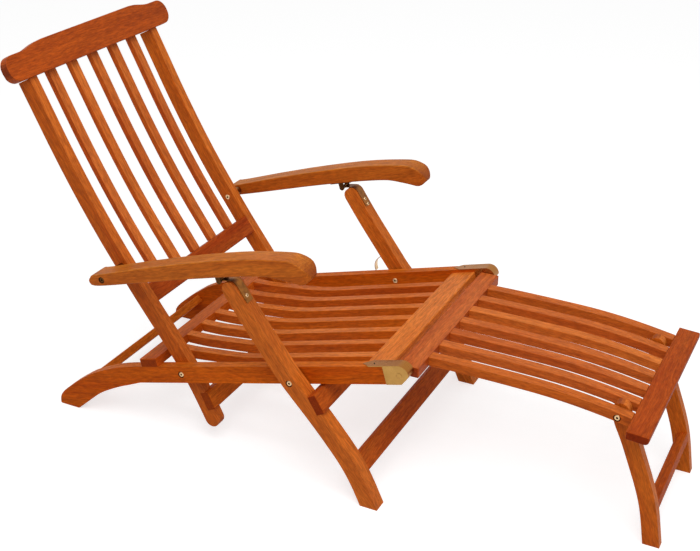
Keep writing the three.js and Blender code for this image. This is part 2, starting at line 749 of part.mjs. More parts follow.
for (const [word, hand] of Object.entries(hands)) {
  add(`rail_${word}`, rail(hand), 'board');
  add(`nose_cap_${word}`, noseCap(hand), 'brass');
  add(`footrest_pivot_pin_${word}`, nosePin(hand), 'brass');
  add(`back_pivot_bolt_${word}`, boltAcross(hand, backPivot, railOuter, stileInner), 'brass');
  add(`leg_pivot_bolt_${word}`, boltAcross(hand, legPivot, legOuter, railInner,
    [railOuter + seatGap, legInner - seatGap]), 'brass');
  add(`stile_${word}`, stile(hand), 'board');
  add(`armrest_${word}`, armrest(hand), 'slat');
  add(`armrest_bolt_${word}`, armBolt(hand), 'brass');
  add(`armrest_spacer_${word}`, armSpacer(hand), 'brass');
  add(`armrest_hinge_${word}`, armHinge(hand), 'brass');
  add(`front_leg_${word}`, frontLeg(hand), 'board');
  add(`leg_top_strap_${word}`, legStrap(hand), 'brass');
  add(`footrest_rail_${word}`, footrestRail(hand), 'board');
  add(`footrest_leg_${word}`, footLeg(hand), 'board');
  add(`footrest_leg_bolt_${word}`, footLegBolt(hand), 'brass');
}

// The origin lies on the floor, under the middle of the chair
const box = new THREE.Box3().setFromObject(chair);
chair.position.set(-half(box.min.x + box.max.x), 0, -box.min.z);
chair.updateMatrixWorld(true);

export default chair;
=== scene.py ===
# %% [markdown]
# # A folding steamer deck chair, dressed
#
# The chair arrives as a set of plain solids, already at their true sizes: rails, legs, slats, straps and
# bolts. This lesson keeps every one of them where it is and gives it what a plain solid lacks: rounded edges,
# the grain of an oiled hardwood, dull brass, and the heads of the bolts and screws.

# %% The chair as it was packed
import json
import math
import random

import bmesh
import bpy
from mathutils import Matrix, Vector
from mathutils.bvhtree import BVHTree

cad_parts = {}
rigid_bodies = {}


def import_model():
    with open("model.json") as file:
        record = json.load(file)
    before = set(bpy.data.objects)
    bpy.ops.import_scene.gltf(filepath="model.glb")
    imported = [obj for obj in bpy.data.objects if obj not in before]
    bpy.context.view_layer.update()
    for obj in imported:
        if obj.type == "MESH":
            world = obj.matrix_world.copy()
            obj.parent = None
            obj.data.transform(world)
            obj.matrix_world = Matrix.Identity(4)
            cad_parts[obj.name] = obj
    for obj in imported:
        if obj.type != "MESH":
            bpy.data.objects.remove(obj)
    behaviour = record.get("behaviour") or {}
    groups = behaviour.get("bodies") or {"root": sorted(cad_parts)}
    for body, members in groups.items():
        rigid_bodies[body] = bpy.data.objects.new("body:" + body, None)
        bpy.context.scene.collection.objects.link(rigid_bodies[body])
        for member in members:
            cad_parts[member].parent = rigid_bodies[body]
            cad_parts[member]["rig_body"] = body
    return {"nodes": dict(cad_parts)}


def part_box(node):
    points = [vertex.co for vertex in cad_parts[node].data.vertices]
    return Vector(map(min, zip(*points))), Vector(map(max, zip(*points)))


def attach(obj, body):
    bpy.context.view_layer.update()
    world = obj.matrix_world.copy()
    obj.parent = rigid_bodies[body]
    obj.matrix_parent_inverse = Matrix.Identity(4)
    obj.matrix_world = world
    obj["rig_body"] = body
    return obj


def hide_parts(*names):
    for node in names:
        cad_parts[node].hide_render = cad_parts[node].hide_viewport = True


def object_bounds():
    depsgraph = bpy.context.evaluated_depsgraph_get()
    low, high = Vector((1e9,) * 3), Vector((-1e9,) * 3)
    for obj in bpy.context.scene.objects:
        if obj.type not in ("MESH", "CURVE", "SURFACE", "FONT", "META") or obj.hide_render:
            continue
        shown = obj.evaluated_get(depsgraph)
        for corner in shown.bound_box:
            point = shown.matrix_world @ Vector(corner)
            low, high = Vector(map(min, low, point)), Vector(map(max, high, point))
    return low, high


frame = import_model()
solids = frame["nodes"]
hands = ("right", "left")
bpy.context.view_layer.update()
packed_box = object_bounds()
print("parts:", len(solids), "size in metres:", tuple(round(v, 3) for v in packed_box[1] - packed_box[0]))

# %% [markdown]
# ## The camera
#
# The photographer stood to the chair's right, a little ahead of it, and looked down on it. A camera can be
# pointed by hand, or with a Track To constraint, but here its three axes are worked out from the angles and
# set as one matrix, because the picture also leans by a quarter of a degree, which a constraint would not
# allow.

# %% Camera
camera_place = Vector((1.0023, -2.065, 1.535))
turn = math.radians(26.82)
tilt = math.radians(26.75)
lean = math.radians(-0.27)
lens = 60.73
film_width = 36

back = Vector((math.sin(turn) * math.cos(tilt), -math.cos(turn) * math.cos(tilt), math.sin(tilt)))
right = Vector((math.cos(turn), math.sin(turn), 0))
up = back.cross(right)
camera_right = math.cos(lean) * right + math.sin(lean) * up
camera_up = math.cos(lean) * up - math.sin(lean) * right
axes = Matrix((camera_right, camera_up, back)).transposed().to_4x4()

camera = bpy.data.objects.new("camera", bpy.data.cameras.new("camera"))
camera.data.sensor_width = film_width
camera.data.lens = lens
camera.matrix_world = Matrix.Translation(camera_place) @ axes
bpy.context.scene.collection.objects.link(camera)
bpy.context.scene.camera = camera
bpy.context.scene.view_settings.view_transform = "Standard"
chair_middle = (packed_box[0] + packed_box[1]) / 2
print("camera", round((camera_place - chair_middle).length, 2), "m from the chair's middle")

# %% [markdown]
# ## Three small helpers
#
# Every material and every tree below is a set of linked nodes. One short function adds a node and fills in
# its sockets, so that a recipe reads from top to bottom. Many nodes change their sockets with their settings,
# so it makes the settings first and then looks at the sockets that are in use.
# Colours are written as the hexadecimal codes that a painter's chart gives, and another function turns them
# into the linear light that Blender works in.


# %% Helpers for nodes and colours
def put(tree, kind, inputs=None, **settings):
    """Adds one node. Its inputs are values, or sockets and nodes to link from, or a list of these.

    An input is named, or numbered where two have the same name. A node stands for its first output in use.
    """
    node = tree.nodes.new(kind)
    for name, value in settings.items():
        setattr(node, name, value)
    in_use = [socket for socket in node.inputs if socket.enabled]
    for key, value in (inputs or {}).items():
        target = in_use[key] if isinstance(key, int) else next(s for s in in_use if s.name == key)
        for source in value if isinstance(value, list) else [value]:
            if isinstance(source, bpy.types.Node):
                source = next(socket for socket in source.outputs if socket.enabled)
            if isinstance(source, bpy.types.NodeSocket):
                tree.links.new(source, target)
            else:
                target.default_value = source
    return node


def emptied(owner):
    """The node tree of a material or a world, with nothing in it yet."""
    owner.use_nodes = True
    owner.node_tree.nodes.clear()
    return owner.node_tree


def tint(code):
    """The linear colour of a code such as #c76a2e."""
    parts = [int(code[i:i + 2], 16) / 255 for i in (1, 3, 5)]
    return (*[p / 12.92 if p <= 0.04045 else ((p + 0.055) / 1.055) ** 2.4 for p in parts], 1)


print("oiled slat in linear light:", [round(v, 3) for v in tint("#c76a2e")])

# %% [markdown]
# ## Floor and light
#
# In a studio a chair stands on a roll of white paper under a large soft lamp. The floor here is a wide plane
# that keeps the chair's shadow. Part of its white is a glow of its own, seen by the camera and in
# reflections alone, so the paper can be white in the picture without throwing all that light up at the
# underside of the seat.

# %% Floor
white = (1, 1, 1, 1)
floor_half = 40
floor_white = 0.62
floor_glow = 0.64


def seen_directly(tree):
    """1 where the camera or a reflection looks, 0 for light that falls on things."""
    path = put(tree, "ShaderNodeLightPath").outputs
    seen = path["Is Camera Ray"]
    for other in ("Is Glossy Ray", "Is Transmission Ray"):
        seen = put(tree, "ShaderNodeMath", {0: seen, 1: path[other]}, operation="MAXIMUM")
    return seen


paper = bpy.data.materials.new("white_paper")
tree = emptied(paper)
lit = put(tree, "ShaderNodeBsdfDiffuse", {"Color": (floor_white, floor_white, floor_white, 1)})
level = put(tree, "ShaderNodeMath", {0: seen_directly(tree), 1: floor_glow}, operation="MULTIPLY")
glow = put(tree, "ShaderNodeEmission", {"Color": white, "Strength": level})
both = put(tree, "ShaderNodeAddShader", {0: lit, 1: glow})
put(tree, "ShaderNodeOutputMaterial", {"Surface": both})

corners = ((-1, -1), (1, -1), (1, 1), (-1, 1))
floor_mesh = bpy.data.meshes.new("floor")
floor_mesh.from_pydata([(x * floor_half, y * floor_half, 0) for x, y in corners], [], [(0, 1, 2, 3)])
floor_mesh.materials.append(paper)
floor = bpy.data.objects.new("floor", floor_mesh)
bpy.context.scene.collection.objects.link(floor)
print("floor", floor_half * 2, "m wide")

# %% [markdown]
# The world is a dimmer, even light from all round, which only looks white, and one broad lamp above and in
# front gives the boards their bright tops. A sun lamp would be quicker to set, but its hard shadows belong to
# a photograph taken out of doors.

# %% World and lamp
world_level = 0.5
world_seen = 1.0
lamp_place = Vector((0.8, -1.25, 2.8))
lamp_aim = Vector((0, 0, 0.3))
lamp_width = 2.4
lamp_power = 50

world = bpy.data.worlds.new("studio")
bpy.context.scene.world = world
tree = emptied(world)
level = put(tree, "ShaderNodeMapRange", {
    "Value": seen_directly(tree), "To Min": world_level, "To Max": world_seen})
sky = put(tree, "ShaderNodeBackground", {"Color": white, "Strength": level})
put(tree, "ShaderNodeOutputWorld", {"Surface": sky})

lamp = bpy.data.objects.new("soft_lamp", bpy.data.lights.new("soft_lamp", "AREA"))
lamp.data.shape = "DISK"
lamp.data.size = lamp_width
lamp.data.energy = lamp_power
lamp.location = lamp_place
lamp.rotation_euler = (lamp_aim - lamp_place).to_track_quat("-Z", "Y").to_euler()
bpy.context.scene.collection.objects.link(lamp)
print("lamp", round(lamp_place.length, 2), "m away, world at", world_level)

# %% [markdown]
# ## Oiled hardwood
#
# The chair is made of an orange-brown hardwood with a coat of oil: open grained, with fine dark streaks that
# run along each board, broader bands of paler and riper wood behind them, pores, and a satin sheen.
# An image of wood would do this quickly, but it would slide or stretch over sawn curves. A procedural wood is
# cut through a block of noise instead, as a saw cuts through a trunk, so the end of a board shows the ends of
# the same streaks that its sides show.
# The noise reads an attribute of the mesh, `grain`, in metres: along the board, across it and through it.
# Each layer is sized in millimetres, along the board and across it, and that is turned into features per
# metre. A slow noise bends the place a little first, so the streaks wander as real ones do.

# %% Noise that runs along a board
sway_length, sway_breadth = 286, 125
sway_reach = 0.022
noise_mean = (0.5, 0.5, 0.5)


def per_metre(length, width):
    """How many features of this size in millimetres lie in a metre each way, to two figures."""
    along, across = (float(f"{1000 / size:.2g}") for size in (length, width))
    return along, across, across


def layer(tree, grain, length, width, detail, low, high, full=1.0):
    """Noise drawn out along the board: 0 where it lies below low, and full where it lies above high."""
    place = put(tree, "ShaderNodeMapping", {"Vector": grain, "Scale": per_metre(length, width)})
    cloud = put(tree, "ShaderNodeTexNoise", {
        "Vector": place, "Scale": 1.0, "Detail": detail, "Roughness": 0.55})
    return put(tree, "ShaderNodeMapRange", {
        "Value": cloud, "From Min": low, "From Max": high, "To Max": full})


def wandering_grain(tree):
    """The place in the trunk, drawn aside by up to a centimetre."""
    straight = put(tree, "ShaderNodeAttribute", attribute_name="grain").outputs["Vector"]
    slow = put(tree, "ShaderNodeMapping", {
        "Vector": straight, "Scale": per_metre(sway_length, sway_breadth)})
    slow = put(tree, "ShaderNodeTexNoise", {"Vector": slow, "Scale": 1.0, "Detail": 1.0})
    sway = put(tree, "ShaderNodeVectorMath", {0: slow.outputs["Color"], 1: noise_mean}, operation="SUBTRACT")
    sway = put(tree, "ShaderNodeVectorMath", {0: sway, "Scale": sway_reach}, operation="SCALE")
    return put(tree, "ShaderNodeVectorMath", {0: straight, 1: sway}, operation="ADD")


print("streaks 3.3 mm wide come to", per_metre(67, 3.3)[1], "in a metre")

# %% [markdown]
# What faces the lamp is painted a paler orange, and what faces sideways a deep red: painted light and shade.
# The end of a board drinks more oil and goes darker, a rounded edge is paler, as wear and as a painted
# highlight, and a bored recess is dark with painted shade and grime. Attributes of the mesh say where each of
# these is, and how light the whole board is.
# The pores of the real wood are about 0.2 mm wide, too fine to show here, so they are drawn four times as
# coarse. Flecks and a longer figure make the light and the dark of it uneven, as oil leaves it.

# %% The hardwood recipe
# Each layer: length and width in millimetres, detail, where it starts and is full, and its strength.
wood_layers = {
    "bands": (450, 29, 3.0, 0.32, 0.68, 1.0),
    "streaks": (67, 3.3, 3.0, 0.5, 0.78, 0.42),
    "pores": (16.7, 0.77, 2.0, 0.6, 0.74, 0.5),
    "mottle": (22, 7, 2.0, 0.42, 0.66, 0.26),
    "flecks": (16.7, 2.4, 2.0, 0.3, 0.7, 0.4),
    "figure": (167, 7, 3.0, 0.3, 0.7, 0.22)}
end_share = 0.8
# A rounded edge is lightened towards the lit pale colour: wear and a painted highlight.
arris_share = 0.25
# A bored recess is darkened towards this colour: painted shade and grime.
recess_share = 0.85
recess_shade_and_grime = "#3d1706"
darkest_board, lightest_board = 0.6, 1.4
redder, yellower = 0.489, 0.511
evenness = 0.69
satin, matt = 0.5, 0.7
groove_depth = 0.0004
groove_strength = 0.35


def hardwood(name, shaded_pair, lit_pair, streak, end, gloss=0.1):
    """An oiled board: pale and ripe bands in painted shade, then in painted light, and its dark streak."""
    material = bpy.data.materials.new(name)
    tree = emptied(material)
    grain = wandering_grain(tree)
    bands, streaks, pores, mottle, flecks, figure = (
        layer(tree, grain, *numbers) for numbers in wood_layers.values())
    written = {wear: put(tree, "ShaderNodeAttribute", attribute_name=wear).outputs["Fac"]
               for wear in ("bleach", "end", "arris", "recess", "tone")}

    # Shaded and lit copies of one wood, mixed by each face's painted light: painted shade and painted light.
    shaded_wood, lit_wood = (
        put(tree, "ShaderNodeMix", {"Factor": bands, "A": tint(pale), "B": tint(ripe)}, data_type="RGBA")
        for pale, ripe in (shaded_pair, lit_pair))
    wood = put(tree, "ShaderNodeMix", {"Factor": written["bleach"], "A": shaded_wood, "B": lit_wood},
               data_type="RGBA")
    # Grain and ends are the wood's own; arrises get wear and a painted highlight, recesses painted shade and
    # grime.
    for share, strength, colour in (
            (streaks, 1, streak), (pores, 1, streak), (mottle, 1, streak), (written["end"], end_share, end),
            (written["arris"], arris_share, lit_pair[0]), (written["recess"], recess_share, recess_shade_and_grime)):
        share = put(tree, "ShaderNodeMath", {0: share, 1: strength}, operation="MULTIPLY")
        wood = put(tree, "ShaderNodeMix", {"Factor": share, "A": wood, "B": tint(colour)}, data_type="RGBA")

    level = put(tree, "ShaderNodeMapRange", {
        "Value": written["tone"], "From Min": -1.0, "To Min": darkest_board, "To Max": lightest_board})
    varied = put(tree, "ShaderNodeMath", {0: flecks, 1: figure}, operation="ADD")
    varied = put(tree, "ShaderNodeMath", {0: varied, 1: evenness}, operation="ADD")
    level = put(tree, "ShaderNodeMath", {0: level, 1: varied}, operation="MULTIPLY")
    hue = put(tree, "ShaderNodeMapRange", {
        "Value": written["tone"], "From Min": -1.0, "To Min": redder, "To Max": yellower})
    board_colour = put(tree, "ShaderNodeHueSaturation", {"Hue": hue, "Value": level, "Color": wood})

    rough = put(tree, "ShaderNodeMapRange", {"Value": streaks, "To Min": satin, "To Max": matt})
    grooves = put(tree, "ShaderNodeMath", {0: streaks, 1: pores}, operation="ADD")
    relief = put(tree, "ShaderNodeBump", {
        "Height": grooves, "Strength": groove_strength, "Distance": groove_depth}, invert=True)
    surface = put(tree, "ShaderNodeBsdfPrincipled", {
        "Base Color": board_colour, "Roughness": rough, "Normal": relief, "Specular IOR Level": gloss})
    put(tree, "ShaderNodeOutputMaterial", {"Surface": surface})
    return material


print("a board's ends are darkened by", end_share, "of their colour, its recesses by", recess_share)

# %% [markdown]
# The boards were sawn from different trees and have weathered differently, so there are five mixtures of the
# same wood. One colour for all of them would be simpler, and would make the chair look moulded.

# %% Five woods
# Slats: the brightest wood, well oiled, with a pale orange on top as painted light.
slat_wood = hardwood("oiled_slat_hardwood", shaded_pair=("#cb5d14", "#b94b0d"), lit_pair=("#d77430", "#c46022"),
                     streak="#893009", end="#893508")
# Stiles, legs and footrest rails: the same timber from riper boards, redder.
frame_wood = hardwood("oiled_frame_hardwood", shaded_pair=("#c96014", "#b74f0e"), lit_pair=("#d56f26", "#c25f1c"),
                      streak="#7f2a08", end="#813008")
# The crest: a wide board cut across a darker heart.
crest_wood = hardwood("oiled_crest_hardwood", shaded_pair=("#bb5214", "#a7430d"), lit_pair=("#bf5514", "#aa460d"),
                      streak="#6f2407", end="#6b2406")
# Seat rails, bars and stretchers: the ripest boards, the reddest of all, and duller.
ripe_wood = hardwood("oiled_ripe_hardwood", shaded_pair=("#cb5b0e", "#b94908"), lit_pair=("#d77020", "#c45c16"),
                     streak="#802b08", end="#893508", gloss=0.05)
# Armrests: worn by sleeves, so they have gone browner, and their painted light is a little straw.
arm_wood = hardwood("oiled_armrest_hardwood", shaded_pair=("#c0580f", "#af470a"), lit_pair=("#cd7a28", "#bb641c"),
                    streak="#7f3409", end="#893508")

woods = {"slat_wood": slat_wood, "frame_wood": frame_wood, "crest_wood": crest_wood}
ripe_boards = {
    "rail_right", "rail_left", "rear_seat_crossbar", "rear_foot_stretcher", "back_mid_bar", "back_lower_bar",
    "leg_upper_crossbar", "leg_lower_stretcher", "footrest_end_bar", "footrest_leg_stretcher"}
print("woods:", [wood.name for wood in (*woods.values(), ripe_wood, arm_wood)])

# %% [markdown]
# ## Brass and steel
#
# The straps over the legs and the caps on the rails' noses are thin rolled brass under a lacquer that has
# dulled. A metal has no colour but that of its reflections, so the brass needs its metallic value at one, a
# tinted base and a roughness that is not even: cloudy where the lacquer has worn, browner where it has
# tarnished. The rolled surface is faintly pitted. Its pits are too fine to show, so they are drawn about a
# millimetre wide.
# The nose caps have a flat straw-yellow plate on each side and a browner strap bent over them, so the recipe
# can take a second colour, laid where the mesh says `second`.

# %% The metal recipe
pits_per_metre = 900.0
pit_depth = 0.0001
pit_strength = 0.2
stain_from, stain_full = 0.38, 0.68
worn_from, worn_full = 0.3, 0.7
polished, worn = -0.08, 0.12


def metal(name, bright, tarnish, roughness, stain_width, tarnish_share, second=None):
    """A dull plated or lacquered metal. stain_width is in millimetres."""
    material = bpy.data.materials.new(name)
    tree = emptied(material)
    place = put(tree, "ShaderNodeTexCoord").outputs["Object"]
    clouds = put(tree, "ShaderNodeTexNoise", {
        "Vector": place, "Scale": 1000 / stain_width, "Detail": 4.0, "Roughness": 0.6})
    stain = put(tree, "ShaderNodeMapRange", {
        "Value": clouds, "From Min": stain_from, "From Max": stain_full, "To Max": tarnish_share})
    colour = put(tree, "ShaderNodeMix", {"Factor": stain, "A": tint(bright), "B": tint(tarnish)},
                 data_type="RGBA")
    if second:
        share = put(tree, "ShaderNodeAttribute", attribute_name="second").outputs["Fac"]
        colour = put(tree, "ShaderNodeMix", {"Factor": share, "A": colour, "B": tint(second)},
                     data_type="RGBA")
    rough = put(tree, "ShaderNodeMapRange", {
        "Value": clouds, "From Min": worn_from, "From Max": worn_full,
        "To Min": roughness + polished, "To Max": roughness + worn})
    pits = put(tree, "ShaderNodeTexNoise", {"Vector": place, "Scale": pits_per_metre, "Detail": 2.0})
    relief = put(tree, "ShaderNodeBump", {"Height": pits, "Strength": pit_strength, "Distance": pit_depth})
    surface = put(tree, "ShaderNodeBsdfPrincipled", {
        "Base Color": colour, "Metallic": 1.0, "Roughness": rough, "Normal": relief})
    put(tree, "ShaderNodeOutputMaterial", {"Surface": surface})
    return material


# The caps on the noses: straw-yellow plates under a lacquer, and a browner strap.
plate_brass = metal("lacquered_brass", "#b08649", "#936c36", 0.3, 30, 0.45, second="#a46a2c")
# Straps that hands rub: browner, and cloudier.
strap_brass = metal("tarnished_brass", "#985f28", "#673d1b", 0.32, 12, 0.7)
# Hinges, and a bolt in a deep recess: nearly black brass and a black socket, both painted shade.
dark_brass = metal("shade_darkened_brass", "#64401f", "#33200f", 0.45, 10, 0.8, second="#0c0704")
# Bolt heads, screws and the hook: brassed steel, pale in the light, with painted shade in their sockets.
bolt_steel = metal("brassed_steel", "#dcb88c", "#a8825a", 0.26, 6, 0.4, second="#1d120a")
print("metals:", plate_brass.name, strap_brass.name, dark_brass.name, bolt_steel.name)

# %% [markdown]
# ## From a solid to a board
#
# A real board is never left with the sharp edge of the saw: its long edges, the arrises, are rounded with a
# router to about 2.5 mm, and only where another board meets it does an edge stay crisp.
# So each outward edge is tested. One that lies within a millimetre of a neighbour stays as it is, and so does
# the rim of a bolt hole, which a router could not follow. All others are rounded.
# A Bevel modifier would round every edge alike and shrink them all to fit the smallest hole, so the bevel is
# run on the chosen edges alone.

# %% Neighbours and bolt holes
touch = 0.001
hole_reach = 0.0085

neighbours = {}
for name, solid in solids.items():
    skin = bmesh.new()
    skin.from_mesh(solid.data)
    neighbours[name] = BVHTree.FromBMesh(skin)
    skin.free()


def body_of(node):
    return solids[node]["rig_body"]


def slot_of(node):
    return solids[node].active_material.name


def middle(node):
    low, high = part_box(node)
    return (Vector(low) + Vector(high)) / 2


bolt_lines = [middle(name).xz for name in sorted(solids) if "_bolt_" in name or "_pin_" in name]


def rims_hole(point):
    """True on the rim or wall of a bolt hole."""
    return any((point.xz - line).length < hole_reach for line in bolt_lines)


def meets_neighbour(node, point):
    """True where another wooden part of the chair lies against this point."""
    for other, surface in neighbours.items():
        if other != node and slot_of(other) != "brass" and surface.find_nearest(point, touch)[0] is not None:
            return True
    return False


print("bolts:", len(bolt_lines), "an edge within", touch * 1000, "mm of a neighbour stays sharp")

# %% [markdown]
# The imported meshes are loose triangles, so a copy of each is welded first and its flat faces are joined. What
# is left are the edges that a joiner would see.

# %% Welding and rounding
weld_distance = 1e-5
negligible = 1e-6
flatness = math.radians(0.5)
edge_angle = math.radians(35)
arris_segments = 3


def welded(node):
    """The solid as one skin of large flat faces."""
    skin = bmesh.new()
    skin.from_mesh(solids[node].data)
    bmesh.ops.remove_doubles(skin, verts=skin.verts, dist=weld_distance)
    bmesh.ops.dissolve_limit(skin, angle_limit=flatness, verts=skin.verts, edges=skin.edges)
    return skin


def outward_edges(skin, least_angle=edge_angle):
    return [e for e in skin.edges if e.is_manifold and e.is_convex and e.calc_face_angle() > least_angle]


def halfway(edge):
    return (edge.verts[0].co + edge.verts[1].co) / 2


def free_edges(skin, node):
    """The outward edges that no neighbour touches."""
    return [e for e in outward_edges(skin) if not meets_neighbour(node, halfway(e))]


def rounded(skin, edges, size, segments=arris_segments):
    """Rounds the edges and returns the new faces."""
    made = bmesh.ops.bevel(skin, geom=edges, offset=size, offset_type="OFFSET", segments=segments,
                           profile=0.5, affect="EDGES", clamp_overlap=True)
    return made["faces"]


print("an edge is what turns by more than", round(math.degrees(edge_angle)), "degrees")

# %% [markdown]
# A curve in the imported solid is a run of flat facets, and on a bandsawn board that would show as a row of
# kinks. Subdivision would smooth them, but it would also pull in the square ends. Cutting each shallow corner
# twice, as a spokeshave does, keeps the curve in its place. A corner beside a long straight face is only
# rounded, because a cut as a share of that face would eat far into it.

# %% Easing a sawn curve
cut_shares = (30, 25)
shallowest, steepest = math.radians(1.5), math.radians(30)
shortest_facet, longest_facet = 0.008, 0.08


def eased(skin):
    """Cuts the shallow corners between a sawn curve's facets twice over, and returns how many there were."""
    found = 0
    for share in cut_shares:
        bends = []
        ends = []
        for edge in skin.edges:
            if edge.is_manifold and shallowest < edge.calc_face_angle() < steepest:
                facets = [face.calc_area() / edge.calc_length() for face in edge.link_faces]
                if min(facets) > shortest_facet:
                    kind = bends if max(facets) < longest_facet else ends
                    kind.append(edge)
        bmesh.ops.bevel(skin, geom=bends, offset=share, offset_type="PERCENT", segments=1, profile=0.5,
                        affect="EDGES")
        rounded(skin, [edge for edge in ends if edge.is_valid], shortest_facet / 2, 2)
        found += len(bends) + len(ends)
    return found


print("facets shorter than", shortest_facet * 1000, "mm are left as they are")

# %% [markdown]
# The grain of a sawn board runs the way that its long straight edges run. What the wood needs to know is
# written into the mesh as attributes, where a material can read it in any pose and from any side.

# %% Writing the grain
crosswise = 0.2
trunk_reach = 20
crease = math.radians(38)
# Faces turned this way, towards the lamp, get the lit copy of the wood as painted light, the others painted
# shade.
sunward = Vector((0.3, 0, 0.954))
painted_lit_from, painted_lit_full = 0.2, 0.7
chance = random.Random(11)


def board_axis(skin):
    """The way the grain runs: the board's long straight edges have most say."""
    sides = [v.co.y for v in skin.verts]
    if max(sides) - min(sides) > crosswise:
        return Vector((0, 1, 0))
    double_angle = Vector((0, 0))
    for edge in skin.edges:
        run = (edge.verts[1].co - edge.verts[0].co).xz
        if run.length > negligible:
            angle = math.atan2(run.y, run.x)
            double_angle += run.length ** 3 * Vector((math.cos(2 * angle), math.sin(2 * angle)))
    angle = math.atan2(double_angle.y, double_angle.x) / 2
    return Vector((math.cos(angle), 0, math.sin(angle)))


def shaded(skin):
    """Shades the faces smooth, with a crease where they turn sharply."""
    for face in skin.faces:
        face.smooth = True
    for edge in skin.edges:
        if edge.is_manifold and edge.calc_face_angle() > crease:
            edge.smooth = False


def grained(skin, rounded_faces, tone, lit_on_sides=0.0, end_from=0.8):
    """Writes what the wood reads: its place in the trunk, its tone, ends, rounded edges and painted light.

    end_from is how squarely a face must cut the grain, from 0 to 1, before end grain starts to show on it.
    """
    along = board_axis(skin)
    across = Vector((-along.z, 0, along.x)) if along.y == 0 else Vector((1, 0, 0))
    through = along.cross(across)
    cut = Vector(chance.uniform(0, trunk_reach) for _ in range(3))
    grain = skin.verts.layers.float_vector.new("grain")
    shade = skin.verts.layers.float.new("tone")
    wears = skin.faces.layers.float
    end, arris, bleach, recess = (wears.new(wear) for wear in ("end", "arris", "bleach", "recess"))
    for vert in skin.verts:
        vert[grain] = cut + Vector((vert.co.dot(along), vert.co.dot(across), vert.co.dot(through)))
        vert[shade] = tone
    round_set = set(rounded_faces)
    for face in skin.faces:
        face[end] = max(0.0, (abs(face.normal.dot(along)) - end_from) / (1 - end_from))
        # Rounded faces are marked for wear and a painted highlight.
        face[arris] = 1.0 if face in round_set else 0.0
        # A face turned towards the lamp gets painted light, and the sides get a further even share of it.
        sun = (face.normal.dot(sunward) - painted_lit_from) / (painted_lit_full - painted_lit_from)
        face[bleach] = lit_on_sides + (1 - lit_on_sides) * min(1.0, max(0.0, sun))
        # Faces in a bolt's recess are marked for painted shade and grime.
        face[recess] = 1.0 if all(rims_hole(vert.co) for vert in face.verts) else 0.0
    shaded(skin)


print("grain is written as metres along, across and through each board")


# %% One plain mesh for each piece
def settled(piece):
    """Replaces a piece's modifiers with the plain mesh that they make."""
    depsgraph = bpy.context.evaluated_depsgraph_get()
    mesh = bpy.data.meshes.new_from_object(piece.evaluated_get(depsgraph), preserve_all_data_layers=True,
                                           depsgraph=depsgraph)
    piece.modifiers.clear()
    piece.data = mesh
    return piece


def finished(name, skin, material):
    """Turns the skin into an object whose normals favour its large faces."""
    skin.normal_update()
    mesh = bpy.data.meshes.new(name)
    skin.to_mesh(mesh)
    skin.free()
    mesh.materials.append(material)
    piece = bpy.data.objects.new(name, mesh)
    bpy.context.scene.collection.objects.link(piece)
    lean_on = piece.modifiers.new("large_faces_first", "WEIGHTED_NORMAL")
    lean_on.keep_sharp = True
    lean_on.weight = 100
    return settled(piece)


def put_in_place(piece, replaced):
    """Sets a piece in the place of the plain solids that it replaces."""
    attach(piece, body_of(replaced[0]))
    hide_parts(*replaced)
    return piece


print("a piece is one mesh, with no modifiers left on it")

# %% One board
arris_size = 0.0026
slat_arris = 0.0014
arm_arris = 0.004
crest_arris = 0.0045
facing_down = -0.6


def wood_for(node):
    if node in ripe_boards:
        return ripe_wood
    return arm_wood if "armrest" in node else woods[slot_of(node)]


def board(node, tone=0.0, lit_on_sides=0.0, size=arris_size, before=None, after=None, crisp_below=False,
          end_from=0.8):
    """One board of the chair, with rounded arrises and its grain.

    tone runs from -1, ripe, to 1, pale. The next number is the share of painted light on its sides, 0 to 1.
    before and after are functions that shape the skin further, ahead of its arrises and behind them.
    """
    skin = welded(node)
    if before:
        before(skin)
    bends = eased(skin)
    chosen = [e for e in free_edges(skin, node) if not rims_hole(halfway(e))]
    if crisp_below:
        chosen = [e for e in chosen if sum(f.normal.z for f in e.link_faces) >= facing_down]
    faces = rounded(skin, chosen, size)
    if after:
        after(skin)
        faces = [f for f in faces if f.is_valid]
    grained(skin, faces, tone, lit_on_sides, end_from)
    piece = put_in_place(finished(node + "_board", skin, wood_for(node)), [node])
    print(piece.name, len(piece.data.polygons), "faces, eased at", bends, "bends")


print("arrises are rounded to", arris_size * 1000, "mm, those of slats to", slat_arris * 1000, "mm")

# %% [markdown]
# ## The seat frame
#
# The two rails are sawn from thick planks, so their grain runs straight while their edges bend down to the
# rear feet. The heel of each foot is rounded far more than an arris, and its corner on the floor about as
# much as one. The bars between them come from other trees, so each has a tone of its own.

# %% Seat frame
foot_round = 0.013
foot_segments = 6
sole_round = 0.003
heel_length = 0.07
heel_reach = 0.01
sole_height = 0.002
upper_from = 0.005


def heeled(skin):
    """Draws the heel's lowest corner back to the hindmost point, and rounds the corners across it."""
    rearmost = min(v.co.x for v in skin.verts)
    for vert in skin.verts:
        if vert.co.z < sole_height and vert.co.x < rearmost + heel_reach:
            vert.co.x = rearmost
    across = [e for e in outward_edges(skin) if max(v.co.x for v in e.verts) < rearmost + heel_length
              and abs(e.verts[0].co.y - e.verts[1].co.y) > heel_reach]
    upper = [e for e in across if e.verts[0].co.z > upper_from]
    rounded(skin, [e for e in across if e not in upper], sole_round)
    rounded(skin, upper, foot_round, foot_segments)


for node, tone in (("rail_right", 0.2), ("rail_left", 0.15)):
    board(node, tone, before=heeled)
for node, tone in (("rear_seat_crossbar", -0.15), ("rear_foot_stretcher", 0.3), ("front_seat_rail", 0.5)):
    board(node, tone)

# %% [markdown]
# ## The backrest
#
# Two curved stiles carry the crest and the bars. The crest is cut from a broader board and its edges are
# rounded further, where a neck leans on it, but underneath they stay crisp, because stiles and slats meet it
# there.

